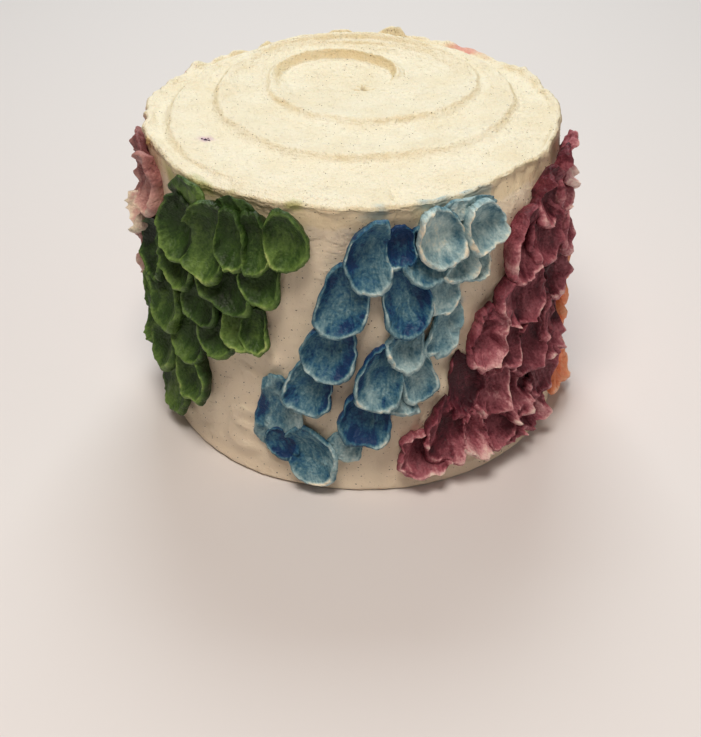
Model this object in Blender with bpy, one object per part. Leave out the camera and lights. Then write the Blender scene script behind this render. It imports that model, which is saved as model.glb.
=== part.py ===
"""Layer cake: an uncut round cake in ivory buttercream, with eight leaning bands of palette-knife petals.

The cake's body is one solid, and each band of petals is one solid, because its dabs of buttercream
lie over each other and run together.  Frame: +Z up, the origin at the middle of the flat base, the
front towards -Y and the right towards +X.  Sizes below are in millimetres and angles in degrees,
counted round the side from the front towards the right.
"""
import math
import random

import bmesh
import bpy

MM = 0.001

# The cake's body.
RADIUS = 85.0
HEIGHT = 131.0
LEAN = -3.6
FOOT_HEIGHT = 6.0
FOOT_FLARE = 1.2
LIP_DEPTH = 3.0
LIP_REACH = 0.8
LIP_ROUND = 1.4
UNDERCUT = 2.0
SIDE_LEVELS = (100.0, 66.0, 34.0, FOOT_HEIGHT)
WALL_UNEVENNESS = 0.8
LIP_UNEVENNESS = 1.6
SEGMENTS = 40
TOP_RINGS = 12
TOP_REACH = 78.0
TOP_DROP = 1.5

# The stretch where the rim is scraped back, and the flecks that stand up at the back.
NOTCH_ANGLE = 48.0
NOTCH_WIDTH = 18.0
NOTCH_DEPTH = 5.0
FLECKS = ((167.0, 5.0, 3.0), (184.0, 5.0, 2.2), (236.0, 7.0, 1.2))

# The spatula's swirl on the top: it winds counter-clockwise, seen from above, round a centre that
# lies behind the cake's own.  The ridge's distance from it is given for each sixth of a turn.
SWIRL_CENTRE = (3.0, 30.0)
RIDGE_START = 40.0
RIDGE_STEP = 60.0
RIDGE_RADII = (21, 60, 40, 29, 29.5, 39, 63, 79, 61, 54, 54, 61, 73, 79, 75, 78.5, 83)
RIDGE_FADE_IN = 60.0
RIDGE_HEIGHT = 1.9
RIDGE_OUTER_WIDTH = 4.5
RIDGE_INNER_WIDTH = 10.0
FIRST_LOOP_END = 270.0
FIRST_LOOP_FADE = 120.0
FIRST_LOOP_EXTRA = 2.0
BOWL_CENTRE = (-8.0, 44.0)
BOWL_RADIUS = 30.0
BOWL_DEPTH = 3.6

# Petals: how far they stand out of the side wall, and how they are dished.
GAP = 0.3
CLEARANCE_SIDES = 30
PETAL_CORNERS = 7
PETAL_ROOT = -1.5
LIP_SWELL = 2.6
LIP_SWELL_START = 117.0
LIP_SWELL_LENGTH = 9.0
TIP_SHARE = 0.6
DISH_SHARE = 0.42
DISH_SHIFT = 0.1
BACK_SCALE = 0.88
TAPER = 0.22
ARC_PER_DEGREE = math.pi * RADIUS / 180

# Each petal: the angle and height of its middle, its width in degrees, its length, how far its foot
# leans to the left in degrees, and how far its foot stands out.
GREEN_PETALS = (
    (-42.5, 125, 14, 13, 0, 6), (-17.5, 118, 10, 24, 0, 7), (-25.5, 115, 8, 26, 2, 7),
    (-31.5, 114.5, 8, 25, 6, 7), (-39, 110.5, 13, 34, 18, 9), (-50.5, 109.5, 11, 28, 15, 8.5),
    (-24, 99, 10, 23, 8, 6), (-35, 94.5, 15, 25, 10, 7.5), (-53, 94, 14, 24, 20, 7.5),
    (-31.5, 77.5, 9, 27, 6, 6.5), (-26.5, 74.5, 7, 20, 4, 5), (-44.5, 81, 12, 22, 12, 7),
    (-39, 70.5, 12, 24, 14, 7), (-51, 60.5, 14, 28, 15, 7), (-60, 71.5, 15, 33, 15, 9),
    (-52.5, 42, 12, 32, -10, 7), (-63.5, 28.5, 14, 37, 10, 8), (-65, 49.5, 14, 35, 15, 9),
    (-67, 87, 12, 27, 8, 9), (-75.5, 68, 12, 28, 8, 9.5), (-78, 46, 12, 27, 8, 9.5), (-73, 34, 8, 18, 6, 7))
BLUE_PETALS = (
    (4.5, 113, 10.5, 32, 8, 7), (10.5, 116, 7, 17, 0, 5), (-4, 93.5, 12, 30, 12, 7),
    (11, 92.5, 11.5, 30, -8, 7.5), (17.5, 112, 12, 24, 0, 7), (20.5, 119, 10.5, 23, -15, 9),
    (31.5, 120, 10.5, 22, -20, 9), (30.5, 106, 9, 18, 10, 6), (25.5, 108, 8, 20, 0, 6),
    (22, 95.5, 8, 23, 10, 4), (22.5, 77.5, 8, 25, 15, 5), (-6.5, 71.5, 13, 28, 15, 7),
    (-13.5, 52.5, 11.5, 23, 20, 6), (-23, 35.5, 12, 35, 8, 3.5), (-13.5, 19.5, 12, 26, -25, 6),
    (-22, 21, 9, 14, 0, 4), (-3.5, 26, 8, 15, 20, 3.5), (6, 58.5, 11, 28, 15, 7),
    (2, 40.5, 12, 26, 15, 7), (12.5, 71.5, 9, 21, 10, 5), (15, 56.5, 9, 22, -12, 4.5),
    (11, 48, 8, 17, 5, 4))
BURGUNDY_PETALS = (
    (79, 117.5, 12, 21, 4, 6.5), (71, 114.5, 12, 26, 8, 8), (58, 117, 10, 22, 8, 8),
    (74, 96, 13, 27, 8, 9.5), (56, 104.5, 12, 28, 14, 8.5), (47.5, 101, 11, 30, 14, 8),
    (66, 79, 14, 28, 10, 9.5), (47, 81.5, 17, 26, 14, 8), (64, 55.5, 14, 30, 10, 9.5),
    (33.5, 68, 9, 25, 5, 7), (39.5, 66, 10, 29, 5, 8), (50, 57, 13, 30, 8, 8), (59, 38.5, 12, 30, 6, 8.5),
    (28, 47, 9, 27, -8, 6), (36.5, 43, 11, 27, 2, 7.5), (46, 35, 12, 28, 2, 7.5), (53.5, 21, 10, 24, -8, 7),
    (23, 28.5, 11, 30, 10, 6.5), (17, 20, 14, 22, 0, 6), (31.5, 23, 9, 20, -12, 7),
    (38.5, 23, 9, 20, -16, 7), (45, 20.5, 8, 17, -10, 6))
MAUVE_PETALS = (
    (-67.5, 116, 10, 24, 4, 7.5), (-77, 112, 12, 31, 6, 8.5), (-80, 95, 14, 25, 8, 10.5),
    (-87, 111, 13, 28, 5, 8.5))

# A band, or the rest of one, that the tables don't spell out follows the same slope, in staggered
# rows of three and two.
BAND_TOP = 110.0
BAND_BOTTOM = 18.0
BAND_SLOPE = 0.35
ROW_PITCH = 21.0
ROW_OFFSETS = ((-8.5, 0.0, 8.5), (-4.5, 4.5))
MIDDLE_DROP = 4.0
PETAL_WIDTHS = (10.5, 13.0)
PETAL_LENGTHS = (25.0, 30.0)
PETAL_RISES = (6.5, 9.0)
LEANS = (4.0, 20.0)
ANGLE_VARIATION = 1.2
HEIGHT_VARIATION = 2.5

# Colours of the buttercream, linear RGB.
IVORY = (0.82, 0.79, 0.64)
GREEN = (0.06, 0.11, 0.03)
BLUE = (0.08, 0.20, 0.30)
BURGUNDY = (0.21, 0.05, 0.07)
ORANGE = (0.78, 0.24, 0.09)
CORAL = (0.80, 0.20, 0.17)
YELLOW = (0.80, 0.53, 0.14)
RED = (0.58, 0.07, 0.08)
MAUVE = (0.38, 0.18, 0.19)


def buttercream(name, colour):
    """A soft, dull buttercream of one colour."""
    material = bpy.data.materials.new(name)
    material.use_nodes = True
    shader = material.node_tree.nodes["Principled BSDF"]
    shader.inputs["Base Color"].default_value = (*colour, 1.0)
    shader.inputs["Roughness"].default_value = 0.55
    shader.inputs["Metallic"].default_value = 0.0
    return material


def place(name, mesh, material):
    """Put a mesh in the scene as one flat-faced object."""
    piece = bpy.data.objects.new(name, mesh)
    piece.data.materials.append(material)
    bpy.context.scene.collection.objects.link(piece)
    return piece


def smooth_step(share):
    """Rise gently from 0 to 1 as the share does."""
    share = min(max(share, 0.0), 1.0)
    return share * share * (3 - 2 * share)


def hump(distance, width):
    """A soft hump: 1 at no distance, fading out over a few widths."""
    return math.exp(-(distance / width) ** 2)


def angle_between(angle, other):
    """The smaller angle between two directions, with its sign."""
    return (angle - other + 180) % 360 - 180


def wave(angle, *terms):
    """A sum of sines round the cake; each term is its count, size and phase."""
    return sum(size * math.sin(math.radians(count * angle + phase)) for count, size, phase in terms)


def wall_radius(angle, height):
    """Radius of the side wall, which a bench scraper left slightly uneven."""
    swell = wave(angle, (2, 0.5, 40), (5, 0.3, 110)) * math.sin(math.radians(1.6 * height + angle))
    foot = FOOT_FLARE * smooth_step(1 - height / FOOT_HEIGHT)
    return RADIUS + swell + foot


def rim_radius(angle):
    """Radius of the ragged lip where the top's buttercream was dragged over the edge."""
    ragged = wave(angle, (3, 0.6, 15), (7, 0.5, 80), (13, 0.5, 0))
    notch = NOTCH_DEPTH * hump(angle_between(angle, NOTCH_ANGLE), NOTCH_WIDTH)
    return RADIUS + LIP_REACH + ragged - notch


def rim_height(angle):
    """Height of the lip's edge, with the flecks that the spatula pulled up."""
    flecks = sum(size * hump(angle_between(angle, middle), width) for middle, width, size in FLECKS)
    return HEIGHT + wave(angle, (4, 0.4, 60), (11, 0.3, 20)) + flecks


def ridge_radius(turned):
    """Distance of the swirl's ridge from its centre, once the spatula has turned this far."""
    spot = (turned - RIDGE_START) / RIDGE_STEP
    index = min(int(spot), len(RIDGE_RADII) - 2)
    share = spot - index
    before = RIDGE_RADII[max(index - 1, 0)]
    here = RIDGE_RADII[index]
    there = RIDGE_RADII[index + 1]
    after = RIDGE_RADII[min(index + 2, len(RIDGE_RADII) - 1)]
    leaving = (there - before) / 2
    arriving = (after - here) / 2
    eased = smooth_step(share)
    return (here * (1 - eased) + there * eased
            + leaving * share * (1 - share) ** 2 - arriving * share ** 2 * (1 - share))


def ridge_height(turned, offset):
    """Height that the ridge adds, at an offset outwards from its crest."""
    started = smooth_step((turned - RIDGE_START) / RIDGE_FADE_IN)
    first_loop = smooth_step((FIRST_LOOP_END - turned) / FIRST_LOOP_FADE)
    size = started * (RIDGE_HEIGHT + first_loop * FIRST_LOOP_EXTRA)
    width = RIDGE_OUTER_WIDTH if offset > 0 else RIDGE_INNER_WIDTH
    return size * smooth_step(1 - abs(offset) / width)


def top_point(reach, direction):
    """A point of the top, at a distance and direction from the swirl's centre."""
    shift = 1 - reach / RADIUS
    x = SWIRL_CENTRE[0] * shift + reach * math.cos(math.radians(direction))
    y = SWIRL_CENTRE[1] * shift + reach * math.sin(math.radians(direction))
    from_bowl = math.hypot(x - BOWL_CENTRE[0], y - BOWL_CENTRE[1])
    height = HEIGHT - TOP_DROP - BOWL_DEPTH * hump(from_bowl, BOWL_RADIUS)
    turned = direction
    while turned < RIDGE_START:
        turned += 360
    while turned < RIDGE_START + RIDGE_STEP * (len(RIDGE_RADII) - 1):
        height += ridge_height(turned, reach - ridge_radius(turned))
        turned += 360
    return x, y, height


def round_ring(radius_at, height_at):
    """One ring of points round the cake; both functions take the angle round the side."""
    ring = []
    for index in range(SEGMENTS):
        direction = 360 * index / SEGMENTS
        radius = radius_at(direction + 90)
        x = radius * math.cos(math.radians(direction))
        y = radius * math.sin(math.radians(direction))
        ring.append((x, y, height_at(direction + 90)))
    return ring


def cake_rings():
    """The body's rings, from the middle of the top, over the lip and down to the base."""
    rings = []
    for index in range(1, TOP_RINGS + 1):
        reach = TOP_REACH * index / TOP_RINGS
        ring = [top_point(reach, 360 * spoke / SEGMENTS) for spoke in range(SEGMENTS)]
        rings.append(ring)
    rings.append(round_ring(lambda angle: rim_radius(angle) - LIP_ROUND,
                            lambda angle: rim_height(angle)))
    rings.append(round_ring(lambda angle: rim_radius(angle),
                            lambda angle: HEIGHT - LIP_DEPTH / 2))
    rings.append(round_ring(lambda angle: min(rim_radius(angle), wall_radius(angle, HEIGHT)),
                            lambda angle: HEIGHT - LIP_DEPTH - UNDERCUT))
    for level in SIDE_LEVELS:
        rings.append(round_ring(lambda angle: wall_radius(angle, level), lambda angle: level))
    rings.append(round_ring(lambda angle: wall_radius(angle, 0), lambda angle: 0.0))
    return rings


def leaning(point):
    """A point in metres, moved sideways by the cake's slight lean."""
    x, y, z = point
    return (x + LEAN * z / HEIGHT) * MM, y * MM, z * MM


def close_rings(form, rings, middle):
    """Join rings of equal size by faces, close the first on a middle point and the last by one face."""
    loops = [[form.verts.new(leaning(point)) for point in ring] for ring in rings]
    crown = form.verts.new(leaning(middle))
    count = len(loops[0])
    for index in range(count):
        onward = (index + 1) % count
        form.faces.new((crown, loops[0][index], loops[0][onward]))
        for upper, lower in zip(loops, loops[1:]):
            form.faces.new((upper[index], lower[index], lower[onward], upper[onward]))
    form.faces.new(tuple(reversed(loops[-1])))


def cake_mesh(name):
    """The cake's body: one solid with the swirl on its top and a ragged lip."""
    form = bmesh.new()
    close_rings(form, cake_rings(), top_point(0.0, 0.0))
    mesh = bpy.data.meshes.new(name)
    form.to_mesh(mesh)
    form.free()
    return mesh


def clearance_mesh(name):
    """A plain many-sided drum just larger than the cake, with the lip's overhang: it trims the petals."""
    form = bmesh.new()
    flat = 1 / math.cos(math.pi / CLEARANCE_SIDES)
    wall = (RADIUS + WALL_UNEVENNESS + GAP) * flat
    lip = (RADIUS + LIP_REACH + LIP_UNEVENNESS + GAP) * flat
    levels = (
        (lip, 2 * HEIGHT), (lip, HEIGHT - LIP_DEPTH), (wall, HEIGHT - LIP_DEPTH - UNDERCUT),
        (wall, FOOT_HEIGHT), (wall + FOOT_FLARE, 0.0), (wall + FOOT_FLARE, -FOOT_HEIGHT))
    rings = []
    for radius, height in levels:
        turns = [2 * math.pi * side / CLEARANCE_SIDES for side in range(CLEARANCE_SIDES)]
        rings.append([(radius * math.cos(turn), radius * math.sin(turn), height) for turn in turns])
    close_rings(form, rings, (0.0, 0.0, 2 * HEIGHT))
    mesh = bpy.data.meshes.new(name)
    form.to_mesh(mesh)
    form.free()
    return mesh


def on_wall(angle, across, height, out):
    """A point that stands out of the side wall or the lip above it, across mm round from an angle."""
    turned = math.radians(angle) + across / RADIUS
    radius = RADIUS + out + LIP_SWELL * smooth_step((height - LIP_SWELL_START) / LIP_SWELL_LENGTH)
    return radius * math.sin(turned), -radius * math.cos(turned), height


def add_petal(form, angle, height, width, length, lean, rise):
    """One dab: a tongue with a round foot that stands out, a dished face and a tip that lies back."""
    half_width = width * ARC_PER_DEGREE / 2
    half_length = length / 2
    slope = math.radians(lean)

    def ring(scale, out_at):
        points = []
        for corner in range(PETAL_CORNERS):
            turn = 2 * math.pi * corner / PETAL_CORNERS
            up = math.cos(turn)
            along = up * half_length * scale
            across = math.sin(turn) * half_width * scale * (1 - TAPER * up)
            points.append(on_wall(
                angle,
                across * math.cos(slope) + along * math.sin(slope),
                height + along * math.cos(slope) - across * math.sin(slope),
                out_at(up)))
        return points

    def face_rise(up):
        return rise * (TIP_SHARE + (1 - TIP_SHARE) * (1 - up) / 2)

    rings = [ring(1.0, face_rise), ring(BACK_SCALE, lambda up: PETAL_ROOT)]
    shift = DISH_SHIFT * length
    deepest = on_wall(
        angle, shift * math.sin(slope), height + shift * math.cos(slope), face_rise(0.0) - DISH_SHARE * rise)
    close_rings(form, rings, deepest)


def band(name, petals, material, cutter):
    """One band of petals, trimmed clear of the cake's wall."""
    form = bmesh.new()
    for petal in petals:
        add_petal(form, *petal)
    mesh = bpy.data.meshes.new(name)
    form.to_mesh(mesh)
    form.free()
    piece = place(name, mesh, material)
    trim = piece.modifiers.new("Clear of the cake", "BOOLEAN")
    trim.operation = "DIFFERENCE"
    trim.solver = "EXACT"
    trim.use_self = True
    trim.object = cutter
    return piece


def even_petals(name, top_angle, first_row=0):
    """The petals of a band in staggered rows, each a little different."""
    chance = random.Random(name)
    petals = []
    rows = int((BAND_TOP - BAND_BOTTOM) / ROW_PITCH) + 1
    for row in range(first_row, rows):
        drop = ROW_PITCH * row
        for offset in ROW_OFFSETS[row % 2]:
            sunk = MIDDLE_DROP if offset == 0 else 0.0
            petals.append((
                top_angle - BAND_SLOPE * drop + offset + chance.uniform(-ANGLE_VARIATION, ANGLE_VARIATION),
                BAND_TOP - drop - sunk + chance.uniform(-HEIGHT_VARIATION, HEIGHT_VARIATION),
                chance.uniform(*PETAL_WIDTHS),
                chance.uniform(*PETAL_LENGTHS),
                chance.uniform(*LEANS),
                chance.uniform(*PETAL_RISES)))
    return petals


def main():
    for old in list(bpy.data.objects):
        bpy.data.objects.remove(old, do_unlink=True)

    place("cake", cake_mesh("cake"), buttercream("ivory_buttercream", IVORY))
    cutter = place("clearance", clearance_mesh("clearance"), buttercream("clearance", IVORY))
    cutter.hide_render = True
    cutter.display_type = "WIRE"

    bands = (
        ("petals_green", GREEN_PETALS, GREEN),
        ("petals_blue", BLUE_PETALS, BLUE),
        ("petals_burgundy", BURGUNDY_PETALS, BURGUNDY),
        ("petals_orange", even_petals("orange", 113.0), ORANGE),
        ("petals_coral", even_petals("coral", 150.0), CORAL),
        ("petals_yellow", even_petals("yellow", 195.0), YELLOW),
        ("petals_red", even_petals("red", 243.0), RED),
        ("petals_mauve", MAUVE_PETALS + tuple(even_petals("mauve", 276.0, 1)), MAUVE))
    for name, petals, colour in bands:
        band(name, petals, buttercream(name, colour), cutter)


main()
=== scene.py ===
"""The looks of the layer cake: ivory buttercream with a spatula swirl, a torn lip and palette-knife petals.

Lengths are in millimetres and angles in degrees, counted round the side from the front towards the
right, unless a comment says otherwise.  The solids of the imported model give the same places.
"""
import itertools
import math
import random

import bpy
import numpy as np
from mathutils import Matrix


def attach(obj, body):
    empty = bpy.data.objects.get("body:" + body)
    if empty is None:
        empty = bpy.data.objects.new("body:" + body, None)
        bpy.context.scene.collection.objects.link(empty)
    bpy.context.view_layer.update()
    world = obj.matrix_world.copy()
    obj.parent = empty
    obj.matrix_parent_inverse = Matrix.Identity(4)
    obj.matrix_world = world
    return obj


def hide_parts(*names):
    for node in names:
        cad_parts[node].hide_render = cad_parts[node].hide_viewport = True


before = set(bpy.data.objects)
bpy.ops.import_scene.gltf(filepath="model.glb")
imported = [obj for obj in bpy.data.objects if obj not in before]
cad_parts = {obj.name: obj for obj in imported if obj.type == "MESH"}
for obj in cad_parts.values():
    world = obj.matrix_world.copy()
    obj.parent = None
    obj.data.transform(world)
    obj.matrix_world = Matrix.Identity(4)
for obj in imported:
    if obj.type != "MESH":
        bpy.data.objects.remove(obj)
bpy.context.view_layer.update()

MM = 0.001

# The cake's body, as in the solids.
RADIUS = 85.0
HEIGHT = 131.0
LEAN = -3.6
FOOT_HEIGHT = 6.0
FOOT_FLARE = 1.2
LIP_REACH = 0.8
LIP_DEPTH = 3.0
FLARE_HEIGHT = 14.0
FLARE_GAP = 0.3
LIP_FILLET = 4.0
NOTCH_ANGLE = 48.0
NOTCH_WIDTH = 18.0
NOTCH_DEPTH = 5.0
FLECKS = ((167.0, 5.0, 3.0), (184.0, 5.0, 2.2), (236.0, 7.0, 1.2))

# The spatula's swirl on the top, counter-clockwise seen from above.
SWIRL_CENTRE = (3.0, 30.0)
RIDGE_START = 40.0
RIDGE_STEP = 60.0
RIDGE_RADII = (21, 60, 40, 29, 29.5, 39, 63, 79, 61, 54, 54, 61, 73, 79, 75, 78.5, 83)
RIDGE_FADE_IN = 22.0
RIDGE_HEIGHT = 2.6
RIDGE_OUTER_WIDTH = 4.2
RIDGE_INNER_WIDTH = 18.0
HOOK_END = 185.0
HOOK_FADE = 60.0
HOOK_EXTRA = 0.9
HOOK_OUTER_WIDTH = 13.0
HOOK_INNER_WIDTH = 5.5
BOWL_CENTRE = (-8.0, 44.0)
BOWL_RADIUS = 30.0
BOWL_DEPTH = 3.6
TOP_DROP = 1.5
# Small lumps on the top: place, width and height.
TOP_LUMPS = ((4, 34, 2.6, 1.3), (7.5, 31, 1.6, 0.8), (9, 21, 5.0, 0.5), (-3, 29, 2.0, 0.4), (14, 26, 2.2, 0.5))

# Fine mesh of the body.
COLUMNS = 460
TOP_RINGS = 104
TOP_REACH = 80.0
SIDE_ROWS = 84
FOOT_ROWS = 7
ARC_PER_DEGREE = math.pi * RADIUS / 180
SPECKS = 6200

# Fineness of a petal's mesh (sectors round it, rings on its face), and the run of its side from the rim down to the wall: how far each step
# lies outside the rim, and its share of the rim's height.
FINE = (104, 24)
MIDDLE = (72, 18)
COARSE = (48, 12)
SIDE_STEPS = ((0.25, 0.96), (0.55, 0.87), (0.75, 0.72), (0.60, 0.52), (0.00, 0.30), (-1.00, 0.08), (-1.80, -0.22))
OUTLINE_POWERS = (1.9, 2.8)
PETAL_TAPER = 0.18
RIM_AT_TIP = 0.56
FLOOR_AT_TIP = 0.1
FLOOR_AT_FOOT = 0.3
DISH_POWER = 2.7
PRESSED_BY = 0.7
CREST_RISE = 0.8
FOLD_RISE = 2.9
# Painted shade: how much darker a petal gets towards its tip, and lighter towards its foot.
TIP_PAINTED_SHADE = 0.14
SMEAR_RISE = 4.4
# Painted shade and highlight: how much darker the fold creases and lighter the fold crests are.
FOLD_PAINTED_SHADE = 0.34
DRIFT = 1.1
THINNEST = 0.9

# Each petal: the angle and height of its middle, its width in degrees, its length, how far its foot
# leans to the left in degrees, how far its foot stands out, and its tone from dark (0) to light (1).
GREEN_PETALS = (
    (-45.5, 124.5, 14, 14, 0, 3.5, 0.7), (-31, 125.5, 12, 9, -14, 3.2, 0.5), (-17.5, 118, 10, 24, 0, 7, 0.55), (-25.5, 115, 8, 26, 2, 7, 0.4),
    (-31.5, 114.5, 8, 25, 6, 7, 0.4), (-39, 110.5, 13, 34, 18, 9, 0.5),
    (-50.5, 109.5, 11, 28, 15, 8.5, 0.35), (-24, 99, 10, 23, 8, 6, 0.35),
    (-35, 94.5, 15, 25, 10, 7.5, 0.25), (-53, 94, 14, 24, 20, 7.5, 0.35),
    (-31.5, 77.5, 9, 27, 6, 6.5, 0.75), (-26.5, 74.5, 7, 20, 4, 5, 0.5), (-44.5, 81, 12, 22, 12, 7, 0.3),
    (-39, 70.5, 12, 24, 14, 7, 0.35), (-51, 60.5, 14, 28, 15, 7, 0.35), (-60, 71.5, 15, 33, 15, 9, 0.4),
    (-52.5, 42, 12, 32, -10, 7, 0.4), (-63.5, 28.5, 14, 37, 10, 8, 0.5), (-65, 49.5, 14, 35, 15, 9, 0.35),
    (-67, 87, 12, 27, 8, 9, 0.2), (-75.5, 68, 12, 28, 8, 9.5, 0.3), (-78, 46, 12, 27, 8, 9.5, 0.3),
    (-73, 34, 8, 18, 6, 7, 0.3))
BLUE_PETALS = (
    (4.5, 113, 10.5, 32, 8, 7, 0.3), (10.5, 116, 7, 17, 0, 5, 0.05), (-4, 93.5, 12, 30, 12, 7, 0.35),
    (11, 92.5, 11.5, 30, -8, 7.5, 0.3), (17.5, 112, 12, 24, 0, 7, 0.4), (20.5, 119, 10.5, 23, -15, 9, 0.95),
    (31.5, 120, 10.5, 22, -20, 9, 0.8), (30.5, 106, 9, 18, 10, 6, 0.6), (25.5, 108, 8, 20, 0, 6, 0.75),
    (22, 95.5, 8, 23, 10, 4, 0.6), (22.5, 77.5, 8, 25, 15, 5, 0.65), (-6.5, 71.5, 13, 28, 15, 7, 0.3),
    (-13.5, 52.5, 11.5, 23, 20, 6, 0.4), (-23, 35.5, 13, 35, 8, 2.6, 0.6), (-13.5, 19.5, 12, 26, -25, 6, 0.45),
    (-22, 21, 9, 14, 0, 4, 0.15), (-4, 25, 9, 17, 20, 3.0, 0.6), (6, 58.5, 11, 28, 15, 7, 0.4),
    (2, 40.5, 12, 26, 15, 7, 0.15), (12.5, 71.5, 9, 21, 10, 5, 0.6), (15, 56.5, 9, 22, -12, 4.5, 0.65),
    (11, 48, 8, 17, 5, 4, 0.65), (27.5, 127.5, 15, 8, 0, 3.0, 0.95))
BURGUNDY_PETALS = (
    (79, 117.5, 12, 21, 4, 4.5, 0.8), (71, 114.5, 12, 26, 8, 5.5, 0.5), (58, 117, 10, 22, 8, 6.5, 0.45),
    (74, 96, 13, 27, 8, 6.5, 0.4), (56, 104.5, 12, 28, 14, 7.5, 0.35), (47.5, 101, 11, 30, 14, 8, 0.4),
    (66, 79, 14, 28, 10, 6.5, 0.3), (47, 81.5, 17, 26, 14, 8, 0.33), (64, 55.5, 14, 30, 10, 6.5, 0.3),
    (33.5, 68, 9, 25, 5, 7, 0.4), (39.5, 66, 10, 29, 5, 8, 0.3), (50, 57, 13, 30, 8, 8, 0.3),
    (59, 38.5, 12, 30, 6, 6.5, 0.35), (28, 47, 9, 27, -8, 6, 0.3), (36.5, 43, 11, 27, 2, 7.5, 0.5),
    (46, 35, 12, 28, 2, 7.5, 0.5), (53.5, 21, 10, 24, -8, 7, 0.45), (23, 28.5, 11, 30, 10, 6.5, 0.35),
    (17, 20, 14, 22, 0, 6, 0.5), (31.5, 23, 9, 20, -12, 7, 0.5), (38.5, 23, 9, 20, -16, 7, 0.4),
    (45, 20.5, 8, 17, -10, 6, 0.35))

MAUVE_PETALS = (
    (-67.5, 116, 10, 24, 4, 6.5, 0.45), (-77, 112, 12, 31, 6, 6.5, 0.25), (-80, 99, 13, 21, 8, 10, 0.9),
    (-87, 111, 13, 28, 5, 5.5, 0.4))

# The bands that the tables don't spell out.
BAND_TOP = 110.0
BAND_BOTTOM = 18.0
BAND_SLOPE = 0.35
ROW_PITCH = 21.0
ROW_OFFSETS = ((-8.5, 0.0, 8.5), (-4.5, 4.5))
MIDDLE_DROP = 4.0
PETAL_WIDTHS = (10.5, 13.0)
PETAL_LENGTHS = (25.0, 30.0)
PETAL_RISES = (6.5, 9.0)
LEANS = (4.0, 20.0)
ANGLE_VARIATION = 1.2
HEIGHT_VARIATION = 2.5

# The camera: where the photographer stood, in metres, and how it was held, in degrees.
CAMERA_PLACE = (-0.0044, -0.5483, 0.3758)
CAMERA_PITCH = 34.26
CAMERA_ROLL = 0.13
CAMERA_LENS = 70.0


class Noise:
    """Smooth value noise in three dimensions, the same on every run."""

    SIZE = 24

    def __init__(self, seed):
        self.grid = np.random.default_rng(seed).uniform(-1.0, 1.0, (self.SIZE,) * 3)

    def at(self, points, scale):
        """Noise from -1 to 1 at points (..., 3), whose features are about scale apart."""
        spot = points / scale
        cell = np.floor(spot).astype(int)
        share = spot - cell
        share = share * share * (3 - 2 * share)
        total = np.zeros(points.shape[:-1])
        for corner in itertools.product((0, 1), repeat=3):
            weight = np.prod(np.where(corner, share, 1 - share), axis=-1)
            x, y, z = np.moveaxis((cell + corner) % self.SIZE, -1, 0)
            total += weight * self.grid[x, y, z]
        return total

    def layered(self, points, scale, layers=3):
        """Several layers of noise, each half as large and half as strong as the one before."""
        return sum(self.at(points + 7.3 * layer, scale / 2 ** layer) / 2 ** layer for layer in range(layers))


def smooth_step(share):
    """Rise gently from 0 to 1 as the share does."""
    share = np.clip(share, 0.0, 1.0)
    return share * share * (3 - 2 * share)


def hump(distance, width):
    """A soft hump: 1 at no distance, fading out over a few widths."""
    return np.exp(-(distance / width) ** 2)


def angle_between(angle, other):
    """The smaller angle between two directions, with its sign."""
    return (angle - other + 180) % 360 - 180


def wave(angle, *terms):
    """A sum of sines round the cake; each term is its count, size and phase."""
    return sum(size * np.sin(np.radians(count * angle + phase)) for count, size, phase in terms)


def wall_radius(angle, height):
    """Radius of the side wall, which a bench scraper left slightly uneven."""
    swell = wave(angle, (2, 0.5, 40), (5, 0.3, 110)) * np.sin(np.radians(1.6 * height + angle))
    foot = FOOT_FLARE * smooth_step(1 - height / FOOT_HEIGHT)
    return RADIUS + swell + foot


def rim_radius(angle):
    """Radius of the ragged lip where the top's buttercream was dragged over the edge."""
    ragged = wave(angle, (3, 0.6, 15), (7, 0.5, 80), (13, 0.5, 0))
    notch = NOTCH_DEPTH * hump(angle_between(angle, NOTCH_ANGLE), NOTCH_WIDTH)
    return RADIUS + LIP_REACH + ragged - notch


def rim_height(angle):
    """Height of the lip's edge, with the flecks that the spatula pulled up."""
    flecks = sum(size * hump(angle_between(angle, middle), width) for middle, width, size in FLECKS)
    return HEIGHT + wave(angle, (4, 0.4, 60), (11, 0.3, 20)) + flecks


def ridge_radius(turned):
    """Distance of the swirl's ridge from its centre, once the spatula has turned this far."""
    radii = np.array(RIDGE_RADII, float)
    spot = np.clip((turned - RIDGE_START) / RIDGE_STEP, 0.0, len(radii) - 1.001)
    index = spot.astype(int)
    share = spot - index
    before = radii[np.maximum(index - 1, 0)]
    here = radii[index]
    there = radii[index + 1]
    after = radii[np.minimum(index + 2, len(radii) - 1)]
    leaving = (there - before) / 2
    arriving = (after - here) / 2
    eased = smooth_step(share)
    return (here * (1 - eased) + there * eased
            + leaving * share * (1 - share) ** 2 - arriving * share ** 2 * (1 - share))


def ridge_height(turned, offset):
    """Height that the ridge adds, at an offset outwards from its crest."""
    started = smooth_step((turned - RIDGE_START) / RIDGE_FADE_IN)
    hook = smooth_step((HOOK_END - turned) / HOOK_FADE)
    size = started * (RIDGE_HEIGHT + hook * HOOK_EXTRA)
    outside = 1 - offset / (RIDGE_OUTER_WIDTH + hook * (HOOK_OUTER_WIDTH - RIDGE_OUTER_WIDTH))
    inside = 1 + offset / (RIDGE_INNER_WIDTH + hook * (HOOK_INNER_WIDTH - RIDGE_INNER_WIDTH))
    return size * np.where(offset > 0, np.clip(outside, 0, 1) ** 2, np.clip(inside, 0, 1) ** 1.5)


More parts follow.
